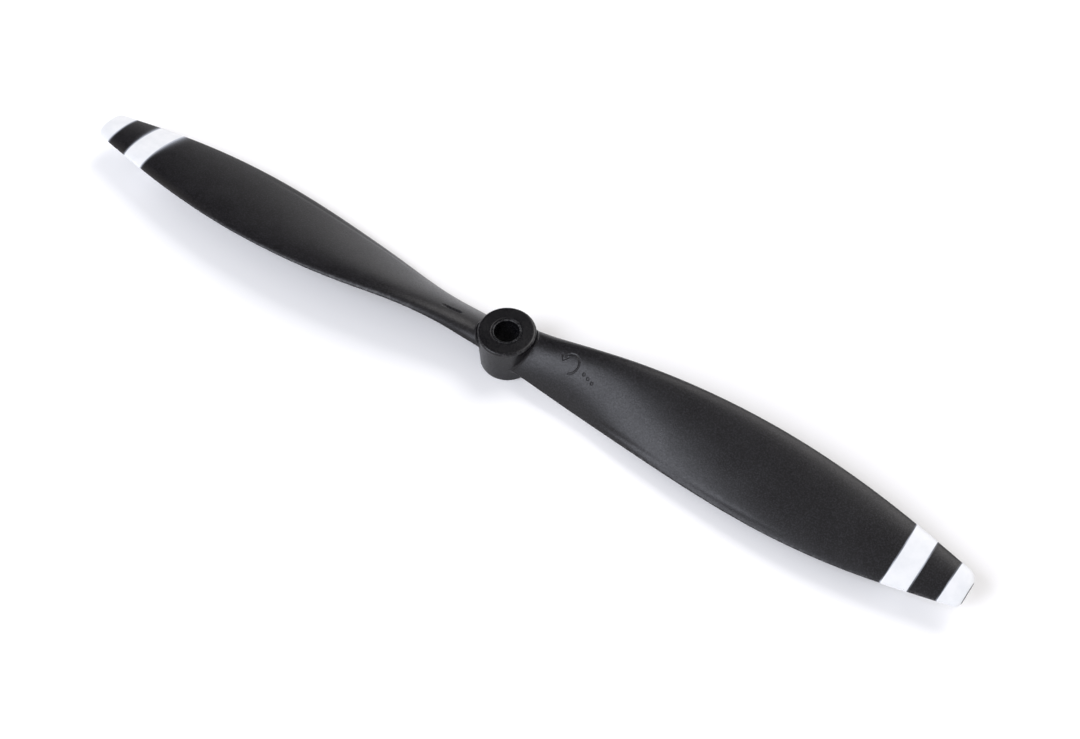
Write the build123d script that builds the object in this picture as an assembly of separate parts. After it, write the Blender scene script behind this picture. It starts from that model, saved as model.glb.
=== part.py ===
from build123d import *
import math
import os

# Two-blade fixed-pitch model aircraft propeller, 10 x 5 in (254 mm diameter, 127 mm pitch).
# Frame: millimetres, origin on the shaft axis at the hub's back face, +Z towards the front
# of the aircraft, +X along blade_1. It turns anticlockwise seen from the front (+Z).

# Hub: a slightly tapered boss with a rounded front rim
HUB_HEIGHT = 11.8
HUB_TOP_RADIUS = 7.35
HUB_BASE_RADIUS = 6.75
RIM_FILLET = 0.7
BASE_CHAMFER = 0.2

# Shaft hole, in a bush that is pressed into the hub
SHAFT_RADIUS = 3.175
BUSH_RADIUS = 3.8
BUSH_EDGE_CHAMFER = 0.2

# Blades
TIP_RADIUS = 127.0
BLADE_COUNT = 2
TAIL_EDGE_THICKNESS = 0.6
SECTION_STEPS = 8
# Each station: radius, chord, blade angle in degrees, thickness, and where the middle of
# the chord stands (ahead of the radial line, and above the hub's back face). From 38 mm out
# the angle follows the 127 mm pitch helix. The last station lies just past the blade's end.
STATIONS = [
    (2.0, 11.4, 19.0, 5.3, 0.5, 6.6),
    (9.0, 12.7, 24.5, 5.2, 0.6, 6.9),
    (14.0, 14.1, 30.0, 4.9, 0.8, 7.2),
    (20.0, 15.9, 33.2, 4.5, 1.15, 7.45),
    (28.0, 18.1, 32.3, 3.8, 1.6, 7.8),
    (38.0, 20.4, 27.0, 3.2, 2.1, 8.05),
    (50.0, 22.6, 21.7, 2.7, 2.55, 8.05),
    (64.0, 24.1, 17.8, 2.3, 2.75, 8.0),
    (78.0, 24.0, 15.0, 2.05, 2.8, 7.9),
    (92.0, 21.9, 13.1, 1.85, 2.85, 7.85),
    (104.0, 18.5, 11.8, 1.65, 3.0, 7.8),
    (114.0, 14.6, 11.1, 1.5, 3.2, 7.75),
    (121.0, 11.6, 10.6, 1.3, 3.4, 7.65),
    (128.0, 8.2, 10.0, 1.05, 3.6, 7.6),
]
# The root bulges below its chord line as well as above it; by FOIL_RADIUS the section has
# become a nearly flat-bottomed foil.
ROOT_RADIUS = 9.0
FOIL_RADIUS = 44.0
ROOT_SHARE_BELOW = 0.43
FOIL_SHARE_BELOW = 0.14
ROOT_TAIL_POWER = 1.0
FOIL_TAIL_POWER = 0.8
BELLY_POWER = 0.75

# Rounded corners of the blade's end, in plan
LEADING_CORNER_RADIUS = 3.0
TRAILING_CORNER_RADIUS = 1.8
END_INSETS = (3.0, 2.0, 1.2, 0.6, 0.2, 0.03)
END_THINNING = 0.55

# White paint: a stripe, and a cap over the blade's end. Each edge is a shallow arc across the
# blade that bulges towards the tip, and its figure is where the middle of the arc stands.
PAINT_THICKNESS = 0.06
STRIPE_INNER_EDGE = 109.1
STRIPE_OUTER_EDGE = 115.55
CAP_INNER_EDGE = 122.3
PAINT_EDGE_ARC_RADIUS = 70.0
PAINT_EDGE_AHEAD = 3.0
TOOL_HEIGHT = 40.0


def smooth_ramp(value, start, end):
    """0 before start, 1 after end, with an S-shaped rise between them."""
    share = min(1.0, max(0.0, (value - start) / (end - start)))
    return share * share * (3.0 - 2.0 * share)


def section_wire(station, growth):
    """Closed blade section on the plane x = radius, made larger all round by growth."""
    radius, chord, angle, thickness, ahead, height = station
    foil = smooth_ramp(radius, ROOT_RADIUS, FOIL_RADIUS)
    share_below = ROOT_SHARE_BELOW + foil * (FOIL_SHARE_BELOW - ROOT_SHARE_BELOW)
    tail_power = ROOT_TAIL_POWER + foil * (FOIL_TAIL_POWER - ROOT_TAIL_POWER)
    fullest = 0.5 / (0.5 + tail_power)
    peak = math.sqrt(fullest) * (1.0 - fullest) ** tail_power
    half_tail = TAIL_EDGE_THICKNESS / 2.0 + growth
    back_height = thickness * (1.0 - share_below) + growth - half_tail * fullest
    belly_depth = thickness * share_below + growth - half_tail / 2.0
    grown_chord = chord + 2.0 * growth
    slope = math.radians(angle)

    def above_chord(share):
        """Height of the upper skin over the chord line, at a share of the chord from its front."""
        return back_height * math.sqrt(share) * (1.0 - share) ** tail_power / peak + half_tail * share

    def below_chord(share):
        """The same for the lower skin, so a negative height."""
        return -belly_depth * (4.0 * share * (1.0 - share)) ** BELLY_POWER - half_tail * share

    def place(share, offset):
        back = grown_chord * (share - 0.5)
        y = ahead - back * math.cos(slope) - offset * math.sin(slope)
        z = height - back * math.sin(slope) + offset * math.cos(slope)
        return Vector(radius, y, z)

    steps = range(SECTION_STEPS + 1)
    shares = [(1.0 - math.cos(math.pi * step / SECTION_STEPS)) / 2.0 for step in steps]
    above = [place(share, above_chord(share)) for share in reversed(shares)]
    below = [place(share, below_chord(share)) for share in shares[1:]]
    points = above + below
    skin = Edge.make_spline(points)
    tail = Edge.make_line(points[-1], points[0])
    return Wire([skin, tail])


def station_at(radius):
    """Design values at a radius between two stations."""
    for inner, outer in zip(STATIONS, STATIONS[1:]):
        if inner[0] <= radius <= outer[0]:
            share = (radius - inner[0]) / (outer[0] - inner[0])
            return [a + share * (b - a) for a, b in zip(inner, outer)]


def end_station(inset, growth):
    """Station this far inside the blade's end, where its two corners are rounded in plan."""
    _, chord, angle, thickness, ahead, height = station_at(TIP_RADIUS - inset)
    slope = math.radians(angle)
    trims = []
    for corner in (LEADING_CORNER_RADIUS, TRAILING_CORNER_RADIUS):
        reach = max(0.0, corner - inset)
        trims.append((corner - math.sqrt(corner**2 - reach**2)) / math.cos(slope))
    back = (trims[0] - trims[1]) / 2.0
    kept = (chord - sum(trims)) / chord
    end = TIP_RADIUS - PAINT_THICKNESS + growth * (1.0 - inset / END_INSETS[0])
    return (
        end - inset + END_INSETS[-1],
        chord * kept,
        angle,
        thickness * (END_THINNING + (1.0 - END_THINNING) * kept),
        ahead - back * math.cos(slope),
        height - back * math.sin(slope),
    )


def blade_form(growth=0.0):
    """The whole blade from inside the hub to its rounded end, as one smooth solid."""
    body = [station for station in STATIONS if station[0] < TIP_RADIUS - END_INSETS[0]]
    end = [end_station(inset, growth) for inset in END_INSETS]
    return Solid.make_loft([section_wire(station, growth) for station in body + end])


def hub_blank():
    """Outside of the hub, with no hole."""
    side = FilletPolyline(
        (HUB_BASE_RADIUS, BASE_CHAMFER),
        (HUB_TOP_RADIUS, HUB_HEIGHT),
        (0.0, HUB_HEIGHT),
        radius=RIM_FILLET,
    )
    rest = Polyline(
        (0.0, HUB_HEIGHT),
        (0.0, 0.0),
        (HUB_BASE_RADIUS - BASE_CHAMFER, 0.0),
        (HUB_BASE_RADIUS, BASE_CHAMFER),
    )
    profile = make_face([*side.edges(), *rest.edges()])
    return revolve(Plane.XZ * profile, axis=Axis.Z)


def reducer_bush():
    """Plain sleeve with both ends of its hole chamfered."""
    sleeve = Pos(0, 0, HUB_HEIGHT / 2.0) * Cylinder(BUSH_RADIUS, HUB_HEIGHT)
    hole = Pos(0, 0, HUB_HEIGHT / 2.0) * Cylinder(SHAFT_RADIUS, HUB_HEIGHT)
    bush = sleeve - hole
    rims = bush.edges().filter_by(GeomType.CIRCLE).filter_by(
        lambda edge: abs(edge.radius - SHAFT_RADIUS) < BUSH_EDGE_CHAMFER
    )
    return chamfer(rims, BUSH_EDGE_CHAMFER)


def paint_mask(edge):
    """Tall disc whose rim crosses the blade as the arc of one paint edge."""
    centre = Pos(edge - PAINT_EDGE_ARC_RADIUS, PAINT_EDGE_AHEAD, 0)
    return centre * Cylinder(PAINT_EDGE_ARC_RADIUS, TOOL_HEIGHT * 2.0)


def half_turn(shape, index):
    """The same piece on the blade with this index."""
    return Rot(0, 0, 360.0 / BLADE_COUNT * index) * shape


blank = hub_blank()
blade = blade_form()
coat = blade_form(PAINT_THICKNESS) - blade
stripe = (coat & paint_mask(STRIPE_OUTER_EDGE)) - paint_mask(STRIPE_INNER_EDGE)
cap = coat - paint_mask(CAP_INNER_EDGE)
visible_blade = blade - blank

parts = {
    "hub": blank - Pos(0, 0, HUB_HEIGHT / 2.0) * Cylinder(BUSH_RADIUS, HUB_HEIGHT),
    "reducer_bush": reducer_bush(),
}
for index in range(BLADE_COUNT):
    number = index + 1
    parts[f"blade_{number}"] = half_turn(visible_blade, index)
    parts[f"white_stripe_{number}"] = half_turn(stripe, index)
    parts[f"white_tip_{number}"] = half_turn(cap, index)

os.makedirs("parts", exist_ok=True)
for name, solid in parts.items():
    export_step(solid, f"parts/{name}.step")
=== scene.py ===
import math

import bpy
import numpy as np
from mathutils import Matrix, Vector


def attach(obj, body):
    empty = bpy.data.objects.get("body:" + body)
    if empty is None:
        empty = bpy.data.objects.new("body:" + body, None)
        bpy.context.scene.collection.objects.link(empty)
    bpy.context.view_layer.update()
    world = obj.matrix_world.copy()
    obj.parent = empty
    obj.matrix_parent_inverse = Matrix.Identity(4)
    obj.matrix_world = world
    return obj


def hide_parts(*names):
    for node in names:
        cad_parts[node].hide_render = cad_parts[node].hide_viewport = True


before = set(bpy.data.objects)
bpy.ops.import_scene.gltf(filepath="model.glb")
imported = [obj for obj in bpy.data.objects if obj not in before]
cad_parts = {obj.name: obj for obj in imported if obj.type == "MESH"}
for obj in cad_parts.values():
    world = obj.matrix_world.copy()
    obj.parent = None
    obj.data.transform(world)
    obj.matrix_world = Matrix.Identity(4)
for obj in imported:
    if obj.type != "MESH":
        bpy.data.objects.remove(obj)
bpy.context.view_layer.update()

MM = 0.001

# ---------------------------------------------------------------- design, in millimetres
HUB_HEIGHT = 11.8
HUB_TOP_RADIUS = 7.35
HUB_BASE_RADIUS = 6.75
RIM_FILLET = 0.7
SHAFT_RADIUS = 3.175
BUSH_RADIUS = 3.8
TIP_RADIUS = 127.0
PAINT_THICKNESS = 0.06
BLADE_END = TIP_RADIUS - PAINT_THICKNESS
# Each row: radius, chord, blade angle in degrees, thickness, how far ahead of the radial line the
# middle of the chord stands, and its height above the back face.
STATIONS = np.array([
    (2.0, 11.4, 19.0, 5.3, 0.5, 6.6),
    (9.0, 12.7, 24.5, 5.2, 0.6, 6.9),
    (14.0, 14.1, 30.0, 4.9, 0.8, 7.2),
    (20.0, 15.9, 33.2, 4.5, 1.15, 7.45),
    (28.0, 18.1, 32.3, 3.8, 1.6, 7.8),
    (38.0, 20.4, 27.0, 3.2, 2.1, 8.05),
    (50.0, 22.6, 21.7, 2.7, 2.55, 8.05),
    (64.0, 24.1, 17.8, 2.3, 2.75, 8.0),
    (78.0, 24.0, 15.0, 2.05, 2.8, 7.9),
    (92.0, 21.9, 13.1, 1.85, 2.85, 7.85),
    (104.0, 18.5, 11.8, 1.65, 3.0, 7.8),
    (114.0, 14.6, 11.1, 1.5, 3.2, 7.75),
    (121.0, 11.6, 10.6, 1.3, 3.4, 7.65),
    (128.0, 8.2, 10.0, 1.05, 3.6, 7.6),
])
ROOT_RADIUS, FOIL_RADIUS = 9.0, 44.0
ROOT_SHARE_BELOW, FOIL_SHARE_BELOW = 0.43, 0.14
ROOT_TAIL_POWER, FOIL_TAIL_POWER = 1.0, 0.8
BELLY_POWER = 0.75
TAIL_EDGE_THICKNESS = 0.6
LEADING_CORNER, TRAILING_CORNER = 2.3, 1.3
END_THINNING = 0.55
END_ROUNDING, END_PINCH = 0.3, 0.45
GUTTER_DEPTH, GUTTER_FROM_TAIL, GUTTER_WIDTH = 0.065, 1.70, 0.60
TAIL_EASE_DEPTH, TAIL_EASE_REACH = 0.05, 0.25
CUFF_HEIGHT, CUFF_GAP, CUFF_WIDTH = 0.34, 0.36, 0.15
MOAT_DEPTH, MOAT_GAP, MOAT_WIDTH = 0.10, 0.06, 0.12
ARROW_DEPTH, GROOVE_DEPTH, PIP_DEPTH = 0.14, 0.50, 0.28
# Paint edges on each blade: where the arc's crown stands, its radius, and how far ahead its
# centre is.
# The masks were laid by hand, so the two blades differ a little.
PAINT_EDGES = {
    1: {"inner": (109.3, 80.0, 3.0), "outer": (115.2, 160.0, 3.0), "cap": (122.3, 110.0, 7.5)},
    2: {"inner": (109.1, 70.0, 5.7), "outer": (115.5, 70.0, 5.5), "cap": (122.2, 70.0, 4.9)},
}
ROOT_FILLET = 0.42
SHARE_STEPS, PAINT_SHARE_STEPS = 150, 80


def smooth(value, start, end):
    """0 before start and 1 past end, with a smooth step between."""
    share = np.clip((value - start) / (end - start), 0.0, 1.0)
    return share * share * (3.0 - 2.0 * share)


def spline(xs, ys):
    """Natural cubic spline through the stations, as a function of arrays."""
    count = len(xs)
    gaps = np.diff(xs)
    system, right = np.eye(count), np.zeros(count)
    for i in range(1, count - 1):
        system[i, i - 1:i + 2] = gaps[i - 1], 2 * (gaps[i - 1] + gaps[i]), gaps[i]
        right[i] = 6 * ((ys[i + 1] - ys[i]) / gaps[i] - (ys[i] - ys[i - 1]) / gaps[i - 1])
    bend = np.linalg.solve(system, right)

    def value(x):
        i = np.clip(np.searchsorted(xs, x) - 1, 0, count - 2)
        a, b, gap = xs[i + 1] - x, x - xs[i], gaps[i]
        return (
            (bend[i] * a ** 3 + bend[i + 1] * b ** 3) / (6 * gap)
            + (ys[i] / gap - bend[i] * gap / 6) * a
            + (ys[i + 1] / gap - bend[i + 1] * gap / 6) * b
        )
    return value


STATION_CURVES = [spline(STATIONS[:, 0], STATIONS[:, c]) for c in range(1, 6)]


def skin_point(x, share, upper, grow):
    """(y, z) of the blade's skin at radius x and this share of the chord, nose to tail, in mm."""
    x = np.asarray(x, float)
    inside = np.clip(x, STATIONS[0, 0], STATIONS[-1, 0])
    chord, angle, thick, ahead, height = [curve(inside) for curve in STATION_CURVES]
    slope = np.radians(angle)
    inset = np.maximum(BLADE_END - x, 0.0)
    trims = []
    for corner in (LEADING_CORNER, TRAILING_CORNER):
        reach = np.clip(corner - inset, 0.0, corner * 0.999)
        trims.append((corner - np.sqrt(corner ** 2 - reach ** 2)) / np.cos(slope))
    back = (trims[0] - trims[1]) / 2.0
    kept = (chord - trims[0] - trims[1]) / chord
    chord = chord * kept
    thick = thick * (END_THINNING + (1.0 - END_THINNING) * kept)
    ahead = ahead - back * np.cos(slope)
    height = height - back * np.sin(slope)
    foil = smooth(x, ROOT_RADIUS, FOIL_RADIUS)
    below_share = ROOT_SHARE_BELOW + foil * (FOIL_SHARE_BELOW - ROOT_SHARE_BELOW)
    power = ROOT_TAIL_POWER + foil * (FOIL_TAIL_POWER - ROOT_TAIL_POWER)
    fullest = 0.5 / (0.5 + power)
    peak = np.sqrt(fullest) * (1.0 - fullest) ** power
    half_tail = TAIL_EDGE_THICKNESS / 2.0 + grow
    back_height = thick * (1.0 - below_share) + grow - half_tail * fullest
    belly = thick * below_share + grow - half_tail / 2.0
    chord = chord + 2.0 * grow
    rise = np.sqrt(share) * np.maximum(1.0 - share, 0.0) ** power / peak
    above = back_height * rise + half_tail * share
    # a shallow gutter just inside the trailing edge leaves a flat lip, and the corner is eased
    from_tail = (1.0 - share) * chord
    gutter = GUTTER_DEPTH * smooth(x, 24.0, 38.0) * (1.0 - smooth(x, 62.0, 90.0))
    above = above - gutter * np.exp(-((from_tail - GUTTER_FROM_TAIL) / GUTTER_WIDTH) ** 2)
    above = above - TAIL_EASE_DEPTH * np.clip(1.0 - from_tail / TAIL_EASE_REACH, 0.0, 1.0) ** 2
    under = -belly * (4.0 * share * (1.0 - share)) ** BELLY_POWER - half_tail * share
    offset = np.where(upper, above, under)
    behind = chord * (share - 0.5)
    y = ahead - behind * np.cos(slope) - offset * np.sin(slope)
    z = height - behind * np.sin(slope) + offset * np.cos(slope)
    return y, z


def ring_columns(steps):
    """Shares and sides round a section: upper skin, tail to nose, then the lower one back."""
    shares = (1.0 - np.cos(np.pi * np.arange(steps + 1) / steps)) / 2.0
    share = np.concatenate([shares[::-1], shares[1:]])
    upper = np.concatenate([np.ones(steps + 1, bool), np.zeros(steps, bool)])
    return share, upper


def hub_radius(z):
    """Outside radius of the hub at height z, rim fillet included."""
    taper = HUB_TOP_RADIUS - HUB_BASE_RADIUS
    wall = HUB_BASE_RADIUS + taper * np.clip(z / HUB_HEIGHT, 0.0, 1.0)
    climb = np.clip(z - (HUB_HEIGHT - RIM_FILLET), 0.0, RIM_FILLET)
    return wall - RIM_FILLET + np.sqrt(np.maximum(RIM_FILLET ** 2 - climb ** 2, 0.0))


def stroke(u, v, points, width):
    """1 inside a round-ended stroke through these points, falling to 0 over its edge."""
    depth = np.zeros_like(u)
    for (u0, v0), (u1, v1) in zip(points, points[1:]):
        du, dv = u1 - u0, v1 - v0
        along = np.clip(((u - u0) * du + (v - v0) * dv) / max(du * du + dv * dv, 1e-9), 0.0, 1.0)
        distance = np.hypot(u - u0 - along * du, v - v0 - along * dv)
        depth = np.maximum(depth, 1.0 - smooth(distance, width * 0.3, width * 0.75))
    return depth


def arc(cu, cv, radius, start, end, steps):
    """Points along a circular arc between two angles in degrees."""
    return [
        (cu + radius * math.cos(math.radians(start + (end - start) * i / steps)),
         cv + radius * math.sin(math.radians(start + (end - start) * i / steps)))
        for i in range(steps + 1)
    ]


def engraving(number, x, across):
    """Depth of the generic moulded marks, over (radius, distance ahead of the radial line)."""
    if number == 1:
        centre_u, centre_v, radius = 18.0, 1.5, 2.15
        head_u = centre_u - radius
        marks = stroke(x, across, arc(centre_u, centre_v, radius, -75, 178, 22), 0.30)
        for side in (-0.85, 0.85):
            marks = np.maximum(marks, stroke(x, across, [
                (head_u + side, centre_v + 0.95), (head_u, centre_v - 0.1)], 0.30))
        for u, v in ((22.3, 0.9), (23.7, 0.5), (25.1, 0.1)):
            marks = np.maximum(marks, stroke(x, across, [(u, v), (u + 0.01, v)], 0.62))
        return ARROW_DEPTH * marks
    groove = stroke(x, across, [(13.2, 1.45), (16.4, 2.1)], 0.78)
    pip = stroke(x, across, [(17.4, 2.3), (17.41, 2.3)], 0.80)
    return GROOVE_DEPTH * groove + PIP_DEPTH * pip


def link_grid(rows, columns, wrap=False, flip=False, start=0):
    """Quads of a row by column grid of vertices, the last column joined to the first if wrap."""
    faces = []
    for i in range(rows - 1):
        for j in range(columns if wrap else columns - 1):
            k = (j + 1) % columns
            quad = (
                start + i * columns + j,
                start + i * columns + k,
                start + (i + 1) * columns + k,
                start + (i + 1) * columns + j,
            )
            faces.append(quad[::-1] if flip else quad)
    return faces


def ring_cap(start, steps, flip=False):
    """Quads that close one ring by joining each upper point to the lower one at the same share."""
    faces = []
    last = 2 * steps
    for i in range(steps - 1):
        quad = (start + i, start + last - i, start + last - i - 1, start + i + 1)
        faces.append(quad[::-1] if flip else quad)
    nose = (start + steps - 1, start + steps + 1, start + steps)
    faces.append(nose[::-1] if flip else nose)
    return faces


def add_mesh(name, points, faces, node, material, values=None, sharp=40.0):
    mesh = bpy.data.meshes.new(name)
    mesh.from_pydata((np.asarray(points) * MM).tolist(), [], faces)
    mesh.validate()
    for key, data in (values or {}).items():
        layer = mesh.attributes.new(key, "FLOAT", "POINT")
        layer.data.foreach_set("value", np.asarray(data, np.float32).ravel())
    mesh.shade_smooth()
    mesh.set_sharp_from_angle(angle=math.radians(sharp))
    mesh.materials.append(material)
    piece = bpy.data.objects.new(name, mesh)
    bpy.context.scene.collection.objects.link(piece)
    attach(piece, "root")
    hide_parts(node)
    return piece


def half_turn(points, number):
    """Blade 2 is blade 1 turned half a turn about the shaft."""
    return points if number == 1 else points * (-1.0, -1.0, 1.0)


# ---------------------------------------------------------------- materials
class Nodes:
    """Short-hand for wiring one node tree."""

    def __init__(self, tree):
        self.tree = tree

    def new(self, kind, inputs=None, **props):
        node = self.tree.nodes.new(kind)
        for key, value in props.items():
            setattr(node, key, value)
        for key, value in (inputs or {}).items():
            if isinstance(value, bpy.types.NodeSocket):
                self.tree.links.new(value, node.inputs[key])
            else:
                node.inputs[key].default_value = value
        return node

    def math(self, operation, a, b, clamp=False):
        node = self.new("ShaderNodeMath", {0: a, 1: b}, operation=operation, use_clamp=clamp)
        return node.outputs[0]

    def noise(self, where, scale, detail, rough):
        return self.new("ShaderNodeTexNoise", {
            "Vector": where, "Scale": scale, "Detail": detail, "Roughness": rough,
        }).outputs["Fac"]

    def ramp(self, value, low, high, out_low=0.0, out_high=1.0, smooth_step=True):
        return self.new("ShaderNodeMapRange", {
            "Value": value, "From Min": low, "From Max": high,
            "To Min": out_low, "To Max": out_high,
        }, interpolation_type="SMOOTHSTEP" if smooth_step else "LINEAR").outputs["Result"]

    def mix(self, share, a, b):
        node = self.new("ShaderNodeMix", data_type="RGBA")
        for index, value in ((0, share), (6, a), (7, b)):
            if isinstance(value, bpy.types.NodeSocket):
                self.tree.links.new(value, node.inputs[index])
            else:
                node.inputs[index].default_value = value
        return node.outputs[2]

    def value_of(self, name):
        return self.new("ShaderNodeAttribute", attribute_name=name).outputs["Fac"]


def new_material(name):
    material = bpy.data.materials.new(name)
    material.use_nodes = True
    material.node_tree.nodes.clear()
    kit = Nodes(material.node_tree)
    shader = kit.new("ShaderNodeBsdfPrincipled")
    output = kit.new("ShaderNodeOutputMaterial")
    kit.tree.links.new(shader.outputs[0], output.inputs[0])
    where = kit.new("ShaderNodeTexCoord").outputs["Object"]
    return material, kit, shader, where


def black_nylon(name, gloss, grain, base):
    """Satin glass-filled nylon: fine grain, cloudy gloss, pale scuffed edges, white overspray; on
    the bush rim the pale edges are partly a painted highlight.
    """
    material, kit, shader, where = new_material(name)
    link = kit.tree.links.new
    fine = kit.noise(where, 5200.0, 3.0, 0.6)
    speck = kit.noise(where, 2300.0, 2.0, 0.5)
    cloud = kit.noise(where, 120.0, 4.0, 0.55)
    flow = kit.noise(kit.new("ShaderNodeMapping", {
        "Vector": where, "Scale": (60.0, 420.0, 420.0),
    }).outputs[0], 1.0, 3.0, 0.55)
    scuff = kit.noise(where, 900.0, 5.0, 0.65)
    edge = kit.value_of("edge")
    spray = kit.value_of("spray")
    polish_and_top_shade = kit.value_of("polish_and_top_shade")
    pale_nose_band = kit.value_of("pale_nose_band")
    # pale edge colour: scuffing, and on the bush rim partly a painted highlight
    wear_and_highlight = kit.math("MULTIPLY", edge, kit.ramp(scuff, 0.46, 0.70))
    worn_and_highlight = kit.mix(kit.math("MULTIPLY", wear_and_highlight, 0.5), base, (0.16, 0.16, 0.165, 1.0))
    clouded = kit.mix(0.14, worn_and_highlight, (0.012, 0.012, 0.014, 1.0))
    tint = kit.mix(kit.ramp(cloud, 0.35, 0.7), worn_and_highlight, clouded)
    glint = kit.noise(where, 2800.0, 1.0, 0.5)
    speckle = kit.math("MULTIPLY", kit.ramp(glint, 0.40, 0.72), 0.48)
    tint = kit.mix(speckle, tint, (0.026, 0.025, 0.030, 1.0))
    # lighter colour along blade 2's leading edge
    tint = kit.mix(kit.math("MULTIPLY", pale_nose_band, 0.6), tint, (0.026, 0.024, 0.023, 1.0))
    # painted shade: the hub's and bush's top faces are darkened towards near-black, on top of their
    # glossier finish
    tint = kit.mix(kit.math("MULTIPLY", polish_and_top_shade, 0.7), tint, (0.0030, 0.0030, 0.0038, 1.0))
    dust = kit.noise(where, 3600.0, 2.0, 0.7)
    dust_share = kit.ramp(spray, 0.0, 0.3, 0.0, 0.5)
    uneven = kit.math("MULTIPLY", kit.math("SUBTRACT", dust, 0.5), dust_share)
    covered = kit.math("ADD", spray, uneven, clamp=True)
    colour = kit.mix(covered, tint, (0.50, 0.53, 0.59, 1.0))
    link(colour, shader.inputs["Base Color"])
    rough = kit.math("ADD", kit.ramp(cloud, 0.3, 0.7, gloss - 0.018, gloss + 0.03),
                     kit.ramp(speck, 0.3, 0.7, -0.05, 0.05))
    rough = kit.math("ADD", rough, kit.math("MULTIPLY", wear_and_highlight, 0.12))
    rough = kit.math("SUBTRACT", rough, kit.math("MULTIPLY", polish_and_top_shade, 0.15))
    rough = kit.math("ADD", rough, kit.math("MULTIPLY", covered, 0.1), clamp=True)
    link(rough, shader.inputs["Roughness"])
    shader.inputs["IOR"].default_value = 1.5
    shader.inputs["Specular IOR Level"].default_value = 0.29
    height = kit.math("ADD", fine, kit.math("MULTIPLY", speck, 1.1))
    height = kit.math("ADD", height, kit.math("MULTIPLY", flow, 0.8))
    relief = kit.ramp(polish_and_top_shade, 0.0, 1.0, grain, grain * 0.15, smooth_step=False)
    bump = kit.new("ShaderNodeBump", {"Height": height, "Strength": relief, "Distance": 0.00004})
    link(bump.outputs[0], shader.inputs["Normal"])
    return material


def white_paint():
    """Sprayed white: slight mottle, chipped edges, thin along the masks, dark over the end face."""
    material, kit, shader, where = new_material("white_paint")
    link = kit.tree.links.new
    mottle = kit.noise(where, 260.0, 4.0, 0.6)
    peel = kit.noise(where, 1500.0, 2.0, 0.5)
    chip = kit.noise(where, 1300.0, 5.0, 0.7)
    edge = kit.value_of("edge")
    thin = kit.value_of("thin")
    dark_end_face = kit.value_of("dark_end_face")
    mottled = kit.ramp(mottle, 0.3, 0.7)
    colour = kit.mix(mottled, (0.70, 0.715, 0.735, 1.0), (0.76, 0.77, 0.785, 1.0))
    chipped = kit.math("MULTIPLY", edge, kit.ramp(chip, 0.62, 0.72))
    colour = kit.mix(chipped, colour, (0.05, 0.05, 0.055, 1.0))
    worn_thin = kit.ramp(kit.math("ADD", thin, kit.math("MULTIPLY", chip, 0.5)), 0.55, 1.3)
    colour = kit.mix(worn_thin, colour, (0.48, 0.51, 0.56, 1.0))
    # darker colour over the end face
    colour = kit.mix(dark_end_face, colour, (0.03, 0.03, 0.035, 1.0))
    link(colour, shader.inputs["Base Color"])
    link(kit.ramp(mottle, 0.3, 0.7, 0.30, 0.42), shader.inputs["Roughness"])
    bump = kit.new("ShaderNodeBump", {"Height": peel, "Strength": 0.25, "Distance": 0.00003})
    link(bump.outputs[0], shader.inputs["Normal"])
    return material


def floor_paper():
    """Matt white paper."""
    material, kit, shader, where = new_material("floor_paper")
    tone = kit.noise(where, 3.0, 3.0, 0.5)
    colour = kit.mix(kit.ramp(tone, 0.3, 0.7), (0.96, 0.96, 0.965, 1.0), (0.975, 0.975, 0.975, 1.0))
    kit.tree.links.new(colour, shader.inputs["Base Color"])
    shader.inputs["Roughness"].default_value = 0.9
    shader.inputs["Specular IOR Level"].default_value = 0.1
    bump = kit.new("ShaderNodeBump", {
        "Height": kit.noise(where, 900.0, 3.0, 0.5), "Strength": 0.05, "Distance": 0.00005,
    })
    kit.tree.links.new(bump.outputs[0], shader.inputs["Normal"])
    return material


NYLON = black_nylon("black_nylon", 0.34, 0.32, (0.0044, 0.0040, 0.0048, 1.0))
BUSH_PLASTIC = black_nylon("bush_plastic", 0.24, 0.15, (0.0040, 0.0040, 0.0048, 1.0))
PAINT = white_paint()


# ---------------------------------------------------------------- blades
def paint_distance(x, y, edge):
    """How far outside the arc of one paint edge a point of the blade is, in mm."""
    crown, radius, ahead = edge
    return np.hypot(x - (crown - radius), y - ahead) - radius


def root_rows(share, upper):
    """Rows from the hub wall to the first straight row, with a small concave fillet at the wall."""
    first_straight = 12.0
    count = 30
    spread = (np.arange(count) / count) ** 1.9
    y, z = skin_point(np.full_like(share, 5.5), share, upper, 0.0)
    # how squarely each column meets the wall sets how far the fillet spreads on it
    ny = np.gradient(z)
    nz = -np.gradient(y)
    size = np.hypot(ny, nz)
    facing = np.clip((ny / size) * (y / 7.2), -0.2, 0.96)
    reach = ROOT_FILLET * np.clip(np.tan(np.arccos(facing) / 2.0), 0.0, 1.0)
    wall = np.full_like(share, 5.0)
    for _ in range(60):
        y, z = skin_point(wall, share, upper, reach)
        wall = 0.5 * wall + 0.5 * np.sqrt(np.maximum(hub_radius(z) ** 2 - y ** 2, 0.5))
    rows = []
    for part in spread:
        x = wall + (first_straight - wall) * part
        grow = reach * (1.0 - part)
        for _ in range(30):
            y, z = skin_point(x, share, upper, grow)
            gap = np.maximum(np.hypot(x, y) - hub_radius(z), 0.0)
            away = np.clip(1.0 - gap / ROOT_FILLET, 0.0, 1.0)
            grow = 0.6 * grow + 0.4 * reach * (1.0 - np.sqrt(1.0 - away ** 2 * 0.999))
        y, z = skin_point(x, share, upper, grow)
        turn = np.degrees(np.arctan2(y, x))
        cuff = smooth(turn, 2.0, 10.0) * (1.0 - smooth(turn, 46.0, 56.0)) * upper
        gap = np.hypot(x, y) - hub_radius(z)
        bead = CUFF_HEIGHT * np.exp(-((gap - CUFF_GAP) / CUFF_WIDTH) ** 2)
        moat = MOAT_DEPTH * np.exp(-((gap - MOAT_GAP) / MOAT_WIDTH) ** 2)
        z = z + cuff * (bead - moat)
        rows.append(np.stack([x, y, z], 1))
    return rows


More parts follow.
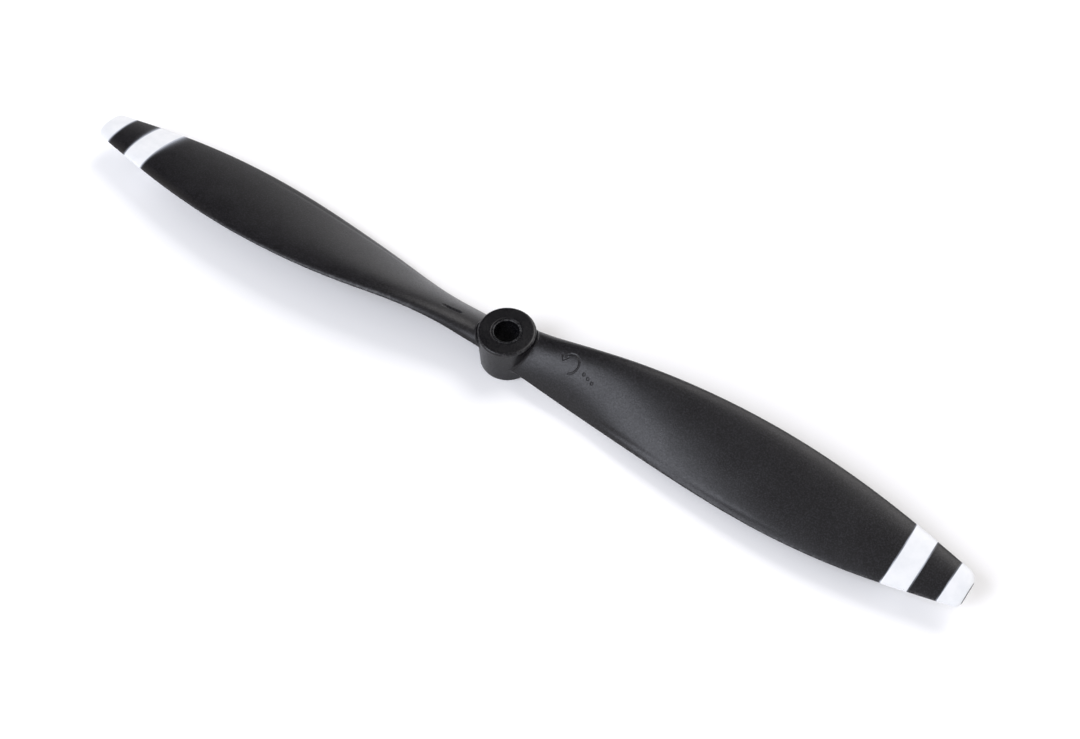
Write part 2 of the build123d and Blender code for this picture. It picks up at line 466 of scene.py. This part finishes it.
def blade_rows(number):
    share, upper = ring_columns(SHARE_STEPS)
    rows = root_rows(share, upper)
    radii = np.concatenate([
        np.arange(12.0, 27.0, 0.13),
        np.arange(27.0, 104.0, 0.95),
        np.arange(104.0, 123.6, 0.35),
        BLADE_END - 3.3 * (1.0 - np.arange(25) / 24.0) ** 1.8,
    ])
    for x in radii:
        # the last third of a millimetre rounds over into the end face
        inset = BLADE_END - x
        pinch = 1.0 - math.sqrt(max(1.0 - max(1.0 - inset / END_ROUNDING, 0.0) ** 2, 0.0))
        y, z = skin_point(np.full_like(share, x), share, upper, 0.0)
        middle_z = (z + z[::-1]) / 2.0
        z = z + (middle_z - z) * END_PINCH * pinch
        z = z - engraving(number, x, y) * upper
        rows.append(np.stack([np.full_like(share, x), y, z], 1))
    return np.array(rows), share, upper


def make_blade(number):
    rows, share, upper = blade_rows(number)
    count, columns = rows.shape[:2]
    x, y = rows[..., 0], rows[..., 1]
    faces = link_grid(count, columns, wrap=True, flip=True)
    faces += ring_cap(0, SHARE_STEPS, flip=True)
    faces += ring_cap((count - 1) * columns, SHARE_STEPS)
    chord = STATION_CURVES[0](np.clip(x, STATIONS[0, 0], STATIONS[-1, 0]))
    from_edge = np.minimum(share, 1.0 - share)[None, :] * chord
    edge = (1.0 - smooth(from_edge, 0.05, 0.55)) * smooth(x, 16.0, 30.0)
    # blade 2 is coloured lighter along its leading edge, from about 78 mm out to the tip
    pale_nose_band = (1.0 - smooth(share * chord, 0.1, 2.4)) * smooth(x, 78.0, 100.0) * (number == 2)
    # overspray beside the paint: crisp on blade 1, drifting inwards on blade 2, more so to the rear
    rear = smooth(share, 0.1, 0.9)[None, :]
    widths = (0.05, 0.05) if number == 1 else (0.14 + 0.46 * rear, 0.13 + 0.20 * rear)
    edges = PAINT_EDGES[number]
    inner = np.maximum(-paint_distance(x, y, edges["inner"]), 0.0) / widths[0]
    outer = np.maximum(paint_distance(x, y, edges["outer"]), 0.0) / widths[1]
    cap = np.maximum(-paint_distance(x, y, edges["cap"]), 0.0) / (0.05 if number == 1 else 0.15)
    spray = np.exp(-np.minimum(np.maximum(inner, outer), cap))
    points = half_turn(rows.reshape(-1, 3), number)
    return add_mesh(f"blade_{number}_moulding", points, faces, f"blade_{number}",
                    NYLON, {"edge": edge, "spray": spray, "pale_nose_band": pale_nose_band})


def paint_shell(number, name, node, inner, outer):
    """A thin closed coat over the blade between two arcs, or from one arc over the blade's end."""
    steps = PAINT_SHARE_STEPS
    share, upper = ring_columns(steps)

    def arc_x(edge, grow):
        crown, radius, ahead = edge
        x = np.full_like(share, crown)
        for _ in range(12):
            y, _z = skin_point(x, share, upper, grow)
            x = crown - radius + np.sqrt(radius ** 2 - (y - ahead) ** 2)
        return x

    parts = np.linspace(0.0, 1.0, 34)
    layers = []
    for coat in (0.055, 0.004):
        start = arc_x(inner, coat)
        if outer is not None:
            stop = arc_x(outer, coat)
        else:
            stop = np.full_like(share, BLADE_END + (0.05 if coat > 0.01 else -0.01))
            parts = 1.0 - (1.0 - np.linspace(0.0, 1.0, 44)) ** 1.7
        rows = []
        for part in parts:
            x = start + (stop - start) * part
            inside = np.minimum(part, 1.0 - part if outer is not None else 1.0) * (stop - start)
            grow = coat if coat < 0.01 else 0.012 + 0.043 * smooth(inside, 0.0, 0.5)
            inset = BLADE_END - np.minimum(x, BLADE_END)
            climb = np.maximum(1.0 - inset / END_ROUNDING, 0.0)
            round_over = 1.0 - np.sqrt(np.maximum(1.0 - climb ** 2, 0.0))
            y, z = skin_point(np.minimum(x, BLADE_END), share, upper, grow)
            middle_z = (z + z[::-1]) / 2.0
            if outer is None:
                z = z + (middle_z - z) * END_PINCH * round_over
            rows.append(np.stack([x, y, z], 1))
        layers.append(np.array(rows))
    count, columns = layers[0].shape[:2]
    total = count * columns
    faces = link_grid(count, columns, wrap=True, flip=True)
    faces += link_grid(count, columns, wrap=True, start=total)

    def rim(row, flip):
        quads = []
        for j in range(columns):
            k = (j + 1) % columns
            a, b = row * columns + j, row * columns + k
            quad = (a, b, total + b, total + a)
            quads.append(quad[::-1] if flip else quad)
        return quads

    faces += rim(0, False)
    if outer is None:
        faces += ring_cap((count - 1) * columns, steps)
        faces += ring_cap(total + (count - 1) * columns, steps, flip=True)
    else:
        faces += rim(count - 1, True)
    points = np.concatenate([layer.reshape(-1, 3) for layer in layers])
    x, y = points[:, 0], points[:, 1]
    all_share = np.tile(share, count * 2)
    chord = STATION_CURVES[0](np.clip(x, STATIONS[0, 0], STATIONS[-1, 0]))
    edge = 1.0 - smooth(np.minimum(all_share, 1.0 - all_share) * chord, 0.05, 0.4)
    soft = 0.10 if number == 1 else 0.35
    thin = 1.0 - smooth(paint_distance(x, y, inner), 0.0, soft)
    if outer is not None:
        thin = np.maximum(thin, 1.0 - smooth(-paint_distance(x, y, outer), 0.0, soft))
    # the coat is darkened over the end face, far more so on blade 1
    dark_end_face = smooth(x, BLADE_END - 0.10, BLADE_END - 0.03) * (1.0 if number == 1 else 0.3)
    return add_mesh(name, half_turn(points, number), faces, node, PAINT,
                    {"edge": edge, "thin": thin, "dark_end_face": dark_end_face})


for number in (1, 2):
    make_blade(number)
    edges = PAINT_EDGES[number]
    paint_shell(number, f"stripe_{number}_coat", f"white_stripe_{number}",
                edges["inner"], edges["outer"])
    paint_shell(number, f"tip_{number}_coat", f"white_tip_{number}", edges["cap"], None)


# ---------------------------------------------------------------- hub and bush
def revolved(name, profile, node, material, edge, shape=None, segments=256):
    """A closed (radius, height) profile turned about the shaft axis; shape may move its points."""
    profile = np.array(profile, float)
    angles = np.arange(segments) * 2.0 * np.pi / segments
    radius = np.repeat(profile[None, :, 0], segments, 0)
    height = np.repeat(profile[None, :, 1], segments, 0)
    if shape is not None:
        radius, height = shape(radius, height, angles[:, None])
    turned_x, turned_y = radius * np.cos(angles)[:, None], radius * np.sin(angles)[:, None]
    points = np.stack([turned_x, turned_y, height], 2)
    columns = len(profile)
    faces = []
    for i in range(segments):
        for j in range(columns):
            a, b = i, (i + 1) % segments
            k = (j + 1) % columns
            faces.append((a * columns + j, b * columns + j, b * columns + k, a * columns + k))
    worn_and_highlight = np.repeat(np.array(edge, float)[None], segments, 0)
    # the top faces are made glossier and, as painted shade, darker, except where the edges are pale
    top = smooth(points[..., 2], HUB_HEIGHT - 1.4, HUB_HEIGHT - 0.5)
    return add_mesh(name, points.reshape(-1, 3), faces, node, material,
                    {"edge": worn_and_highlight, "polish_and_top_shade": top * (1.0 - worn_and_highlight)})


def hub_profile():
    """Outside of the hub from the back face up the wall and over the rim, then down its hole."""
    points, worn_and_highlight = [], []

    def add(radius, height, edge=0.0):
        points.append((radius, height))
        worn_and_highlight.append(edge)

    for radius in np.linspace(BUSH_RADIUS + 0.12, HUB_BASE_RADIUS - 0.35, 8):
        add(radius, 0.0)
    for step in range(5):
        angle = math.radians(-90 + 90 * step / 4)
        add(HUB_BASE_RADIUS - 0.22 + 0.22 * math.cos(angle), 0.22 + 0.22 * math.sin(angle), 0.6)
    for height in np.linspace(0.5, HUB_HEIGHT - RIM_FILLET - 0.2, 26):
        add(float(hub_radius(height)), height)
    for step in range(13):
        angle = math.radians(90 * step / 12)
        height = HUB_HEIGHT - RIM_FILLET + RIM_FILLET * math.sin(angle)
        add(float(hub_radius(height)), height, 0.8 * math.sin(math.radians(180 * step / 12)))
    for radius in np.linspace(6.4, BUSH_RADIUS + 0.14, 14):
        add(radius, HUB_HEIGHT)
    add(BUSH_RADIUS + 0.09, HUB_HEIGHT - 0.01, 0.3)
    add(BUSH_RADIUS + 0.03, HUB_HEIGHT - 0.05, 0.4)
    add(BUSH_RADIUS, HUB_HEIGHT - 0.14)
    for height in (8.0, 4.0, 0.14):
        add(BUSH_RADIUS, height)
    add(BUSH_RADIUS + 0.05, 0.05)
    return points, worn_and_highlight


# Where each burr stands round the foot of the hub, how wide it is, both in degrees, and how tall.
HUB_BURRS = ((205.0, 1.6, 0.16), (232.0, 1.2, 0.12), (262.0, 2.0, 0.10), (300.0, 1.4, 0.09))


def hub_shape(radius, height, angle):
    """Small burrs left round the foot of the hub, and a trace of unevenness in the wall."""
    outside = radius > BUSH_RADIUS + 1.0
    low = np.exp(-((height - 0.55) / 0.35) ** 2) * outside
    for at, wide, tall in HUB_BURRS:
        away = (np.degrees(angle) - at + 180.0) % 360.0 - 180.0
        radius = radius + tall * low * np.exp(-(away / wide) ** 2)
    wall = outside * smooth(height, 0.8, 2.5) * (1.0 - smooth(height, 9.5, 11.0))
    radius = radius + 0.012 * wall * np.sin(3.0 * angle + 0.4 * height)
    return radius, height


def bush_profile():
    """Outside of the bush from the back face up, over its rim, then down the shaft hole."""
    points, worn_and_highlight = [], []

    def add(radius, height, edge=0.0):
        points.append((radius, height))
        worn_and_highlight.append(edge)

    outer = BUSH_RADIUS - 0.02
    add(outer - 0.12, 0.0)
    add(outer - 0.03, 0.03)
    for height in (0.12, 4.0, 8.0, HUB_HEIGHT - 0.20):
        add(outer, height)
    # the pale colour on the bush's rim and shaft-hole edge is scuffing and partly painted highlight
    add(outer - 0.05, HUB_HEIGHT - 0.09, 0.9)
    add(outer - 0.13, HUB_HEIGHT - 0.02, 0.9)
    for radius in np.linspace(outer - 0.15, SHAFT_RADIUS + 0.24, 4):
        add(radius, HUB_HEIGHT - 0.02, 0.6)
    for step in range(7):
        angle = math.radians(90 * step / 6)
        add(SHAFT_RADIUS + 0.18 - 0.18 * math.sin(angle),
            HUB_HEIGHT - 0.20 + 0.18 * math.cos(angle), 0.9)
    for height in np.linspace(HUB_HEIGHT - 0.6, 0.5, 14):
        add(SHAFT_RADIUS, height)
    add(SHAFT_RADIUS + 0.02, 0.18)
    add(SHAFT_RADIUS + 0.08, 0.06)
    add(SHAFT_RADIUS + 0.20, 0.0)
    return points, worn_and_highlight


profile, worn_and_highlight = hub_profile()
revolved("hub_moulding", profile, "hub", NYLON, worn_and_highlight, shape=hub_shape)
profile, worn_and_highlight = bush_profile()
revolved("reducer_bush_sleeve", profile, "reducer_bush", BUSH_PLASTIC, worn_and_highlight)


# ---------------------------------------------------------------- stage, light and camera
FLOOR_SIZE, FLOOR_DROP = 6.0, 0.00002  # metres; the drop keeps the floor clear of the back face
floor_mesh = bpy.data.meshes.new("floor")
half = FLOOR_SIZE / 2.0
corners = [(-half, -half, 0), (half, -half, 0), (half, half, 0), (-half, half, 0)]
floor_mesh.from_pydata(corners, [], [(0, 1, 2, 3)])
floor_mesh.materials.append(floor_paper())
floor = bpy.data.objects.new("floor", floor_mesh)
floor.location.z = -FLOOR_DROP
bpy.context.scene.collection.objects.link(floor)

VIEW_TURN = math.radians(35.193)
VIEW_HEIGHT = math.radians(56.243)
VIEW_ROLL = math.radians(-0.240)
FOCAL_PIXELS, IMAGE_WIDTH, SENSOR_WIDTH = 2168.3, 1080.0, 36.0
OBJECT_IN_VIEW = Vector((-8.109, 2.876, 540.616)) * MM

sideways = Vector((math.cos(VIEW_TURN), math.sin(VIEW_TURN), 0.0))
away = Vector((-math.sin(VIEW_TURN), math.cos(VIEW_TURN), 0.0))
forward = away * math.cos(VIEW_HEIGHT) - Vector((0, 0, math.sin(VIEW_HEIGHT)))
upward = away * math.sin(VIEW_HEIGHT) + Vector((0, 0, math.cos(VIEW_HEIGHT)))
right = sideways * math.cos(VIEW_ROLL) + upward * math.sin(VIEW_ROLL)
up = upward * math.cos(VIEW_ROLL) - sideways * math.sin(VIEW_ROLL)
place = -(right * OBJECT_IN_VIEW.x + up * OBJECT_IN_VIEW.y + forward * OBJECT_IN_VIEW.z)

camera_data = bpy.data.cameras.new("camera")
camera_data.sensor_width = SENSOR_WIDTH
camera_data.sensor_fit = "HORIZONTAL"
camera_data.lens = FOCAL_PIXELS / IMAGE_WIDTH * SENSOR_WIDTH
camera_data.clip_start, camera_data.clip_end = 0.01, 20.0
camera = bpy.data.objects.new("camera", camera_data)
turn = Matrix((right, up, -forward)).transposed()
camera.matrix_world = Matrix.Translation(place) @ turn.to_4x4()
bpy.context.scene.collection.objects.link(camera)
bpy.context.scene.camera = camera


def toward(turn, rise):
    """Unit vector at this turn clockwise from beyond the hub, and this rise, in degrees."""
    turn, rise = math.radians(turn), math.radians(rise)
    level = sideways * math.sin(turn) + away * math.cos(turn)
    return level * math.cos(rise) + Vector((0, 0, math.sin(rise)))


def softbox(name, direction, distance, size, radiance, colour):
    """Rectangular light aimed at the hub; distance and size in metres."""
    data = bpy.data.lights.new(name, "AREA")
    data.shape = "RECTANGLE"
    data.size, data.size_y = size
    data.energy = radiance * math.pi * size[0] * size[1]
    data.color = colour
    light = bpy.data.objects.new(name, data)
    light.location = direction * distance
    light.rotation_mode = "QUATERNION"
    light.rotation_quaternion = (-direction).to_track_quat("-Z", "Y")
    bpy.context.scene.collection.objects.link(light)


LIGHT_DISTANCE = 1.2
softbox("window_near_left", toward(-120.0, 44.5), LIGHT_DISTANCE, (0.70, 0.74), 6.1,
        (0.87, 0.90, 1.0))
softbox("box_far_right", toward(40.0, 50.0), LIGHT_DISTANCE, (0.80, 0.76), 3.9,
        (1.0, 0.975, 0.965))

# The room: brighter near the horizon than overhead, with one dark patch beyond the object.
HORIZON_STRENGTH, OVERHEAD_STRENGTH = 1.50, 0.54
DARK_PATCH_AT, DARK_PATCH_SHARE = (-16.0, 42.0), 0.08

world = bpy.data.worlds.new("studio")
bpy.context.scene.world = world
world.use_nodes = True
world.node_tree.nodes.clear()
kit = Nodes(world.node_tree)
direction = kit.new("ShaderNodeTexCoord").outputs["Generated"]
rise = kit.new("ShaderNodeSeparateXYZ", {"Vector": direction}).outputs["Z"]
dark_side = kit.new("ShaderNodeVectorMath", {
    0: direction, 1: tuple(toward(*DARK_PATCH_AT)),
}, operation="DOT_PRODUCT").outputs["Value"]
dome = kit.ramp(rise, 0.08, 0.36, HORIZON_STRENGTH, OVERHEAD_STRENGTH)
strength = kit.math("MULTIPLY", dome, kit.ramp(dark_side, 0.82, 0.95, 1.0, DARK_PATCH_SHARE))
background = kit.new("ShaderNodeBackground", {
    "Color": (1.0, 0.985, 0.99, 1.0), "Strength": strength,
})
world_output = kit.new("ShaderNodeOutputWorld")
kit.tree.links.new(background.outputs[0], world_output.inputs[0])

scene = bpy.context.scene
scene.view_settings.view_transform = "Standard"
scene.view_settings.look = "None"
scene.view_settings.exposure = 0.0
scene.view_settings.gamma = 1.0
